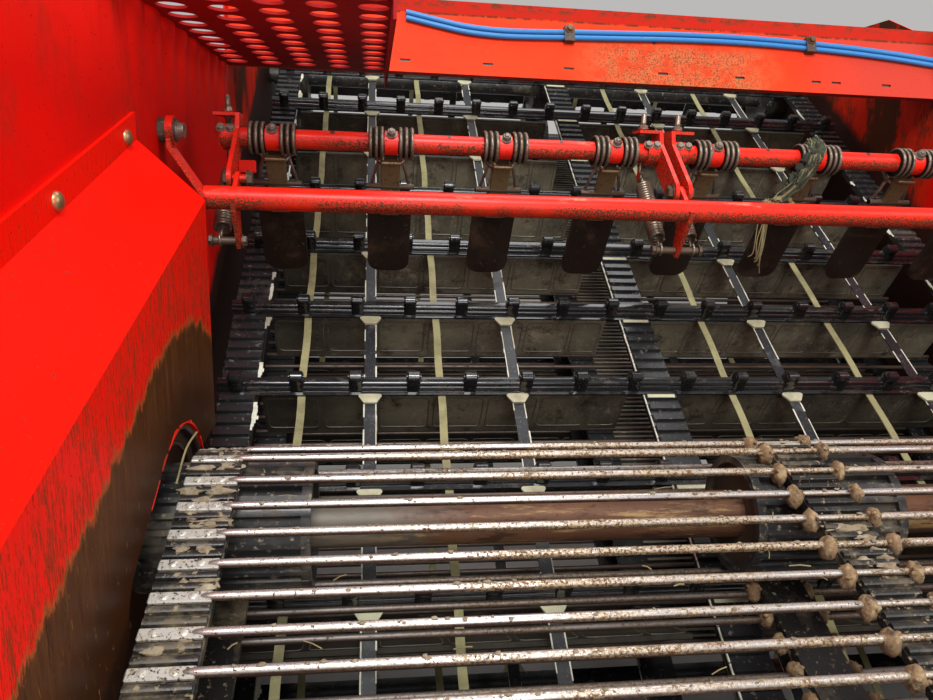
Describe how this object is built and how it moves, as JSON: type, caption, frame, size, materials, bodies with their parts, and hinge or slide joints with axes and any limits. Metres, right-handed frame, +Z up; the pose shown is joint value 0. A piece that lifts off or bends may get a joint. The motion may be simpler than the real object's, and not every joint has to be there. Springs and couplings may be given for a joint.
{
  "type": "potato harvester web section",
  "caption": "Web section of a potato harvester: rod sieving web over an inclined haulm web with flights, side walls, sprung finger comb, beam and guard.",
  "frame": {"origin": "middle of the box under the rails", "axes": "+X to the right across the machine, +Y to the rear where the webs rise, +Z up"},
  "size_m": [2.196, 2.85, 1.878],
  "materials": {
    "red_paint": "gloss, worn and dusty",
    "beam_paint": "gloss, dusty",
    "guard_paint": "satin, dusty",
    "hose_plastic": "matte",
    "clip_plastic": "matte",
    "belt_rubber": "dusty",
    "rod_steel": "polished by the crop, speckled with soil and rust",
    "drum_steel": "rusty",
    "bar_rubber": "glossy black",
    "strip_fabric": "woven, dusty",
    "web_drum": "dusty",
    "lift_steel": "dull, soiled",
    "flight_rubber": "dusty",
    "bearing_iron": "dusty",
    "bolt_steel": "dull",
    "spring_steel": "dull, rusty",
    "finger_rubber": "worn, dusty"
  },
  "bodies": {
    "root": {"wall_left": "red_paint", "wall_right": "red_paint", "rail_left": "red_paint", "rail_right": "red_paint", "cross_tubes": "red_paint", "shroud_left": "red_paint", "shroud_right": "red_paint", "cross_beam": "beam_paint", "guard": "guard_paint", "hoses": "hose_plastic", "hose_clips": "clip_plastic", "sieve_belts": "belt_rubber", "haulm_belts": "belt_rubber", "lift_belts": "belt_rubber", "sieve_web_rods": "rod_steel", "sieve_drum_rear": "drum_steel", "sieve_drum_front": "drum_steel", "haulm_bars": "bar_rubber", "haulm_strips": "strip_fabric", "haulm_drum_upper": "web_drum", "haulm_drum_lower": "web_drum", "lift_drum_upper": "web_drum", "lift_drum_lower": "web_drum", "lift_rods": "lift_steel", "lift_flights": "flight_rubber", "bearings_left": "bearing_iron", "bearings_right": "bearing_iron", "comb_pivots": "bolt_steel"},
    "comb_frame": {"comb_frame": "red_paint", "comb_springs_left": "spring_steel", "comb_springs_right": "spring_steel"},
    "bar_left": {"half_bar_left": "red_paint"},
    "bar_right": {"half_bar_right": "red_paint"},
    "finger_1": {"finger_1": "finger_rubber"},
    "finger_2": {"finger_2": "finger_rubber"},
    "finger_3": {"finger_3": "finger_rubber"},
    "finger_4": {"finger_4": "finger_rubber"},
    "finger_5": {"finger_5": "finger_rubber"},
    "finger_6": {"finger_6": "finger_rubber"},
    "finger_7": {"finger_7": "finger_rubber"},
    "finger_8": {"finger_8": "finger_rubber"}
  },
  "joints": [
    {"name": "comb_swing", "type": "hinge", "parent": "root", "child": "comb_frame", "pos_m": [0, -0.39, 1.406], "axis": [1, 0, 0], "range_deg": [-2, 12]},
    {"name": "bar_left_tilt", "type": "hinge", "parent": "comb_frame", "child": "bar_left", "pos_m": [-0.45, -0.33864, 1.32655], "axis": [1, 0, 0], "range_deg": [0, 12], "stiffness_Nm_per_rad": 300, "springref_deg": -5.73, "deforming": ["comb_springs_left"]},
    {"name": "bar_right_tilt", "type": "hinge", "parent": "comb_frame", "child": "bar_right", "pos_m": [0.41, -0.33864, 1.32655], "axis": [1, 0, 0], "range_deg": [0, 12], "stiffness_Nm_per_rad": 300, "springref_deg": -5.73, "deforming": ["comb_springs_right"]},
    {"name": "finger_1_swing", "type": "hinge", "parent": "bar_left", "child": "finger_1", "pos_m": [-0.826, -0.2375, 1.405], "axis": [1, 0, 0], "range_deg": [0, 35], "stiffness_Nm_per_rad": 12, "springref_deg": -11.46},
    {"name": "finger_2_swing", "type": "hinge", "parent": "bar_left", "child": "finger_2", "pos_m": [-0.594, -0.2375, 1.405], "axis": [1, 0, 0], "range_deg": [0, 35], "stiffness_Nm_per_rad": 12, "springref_deg": -11.46},
    {"name": "finger_3_swing", "type": "hinge", "parent": "bar_left", "child": "finger_3", "pos_m": [-0.362, -0.2375, 1.405], "axis": [1, 0, 0], "range_deg": [0, 35], "stiffness_Nm_per_rad": 12, "springref_deg": -11.46},
    {"name": "finger_4_swing", "type": "hinge", "parent": "bar_left", "child": "finger_4", "pos_m": [-0.13, -0.2375, 1.405], "axis": [1, 0, 0], "range_deg": [0, 35], "stiffness_Nm_per_rad": 12, "springref_deg": -11.46},
    {"name": "finger_5_swing", "type": "hinge", "parent": "bar_right", "child": "finger_5", "pos_m": [0.09, -0.2375, 1.405], "axis": [1, 0, 0], "range_deg": [0, 35], "stiffness_Nm_per_rad": 12, "springref_deg": -11.46},
    {"name": "finger_6_swing", "type": "hinge", "parent": "bar_right", "child": "finger_6", "pos_m": [0.322, -0.2375, 1.405], "axis": [1, 0, 0], "range_deg": [0, 35], "stiffness_Nm_per_rad": 12, "springref_deg": -11.46},
    {"name": "finger_7_swing", "type": "hinge", "parent": "bar_right", "child": "finger_7", "pos_m": [0.554, -0.2375, 1.405], "axis": [1, 0, 0], "range_deg": [0, 35], "stiffness_Nm_per_rad": 12, "springref_deg": -11.46},
    {"name": "finger_8_swing", "type": "hinge", "parent": "bar_right", "child": "finger_8", "pos_m": [0.786, -0.2375, 1.405], "axis": [1, 0, 0], "range_deg": [0, 35], "stiffness_Nm_per_rad": 12, "springref_deg": -11.46}
  ]
}
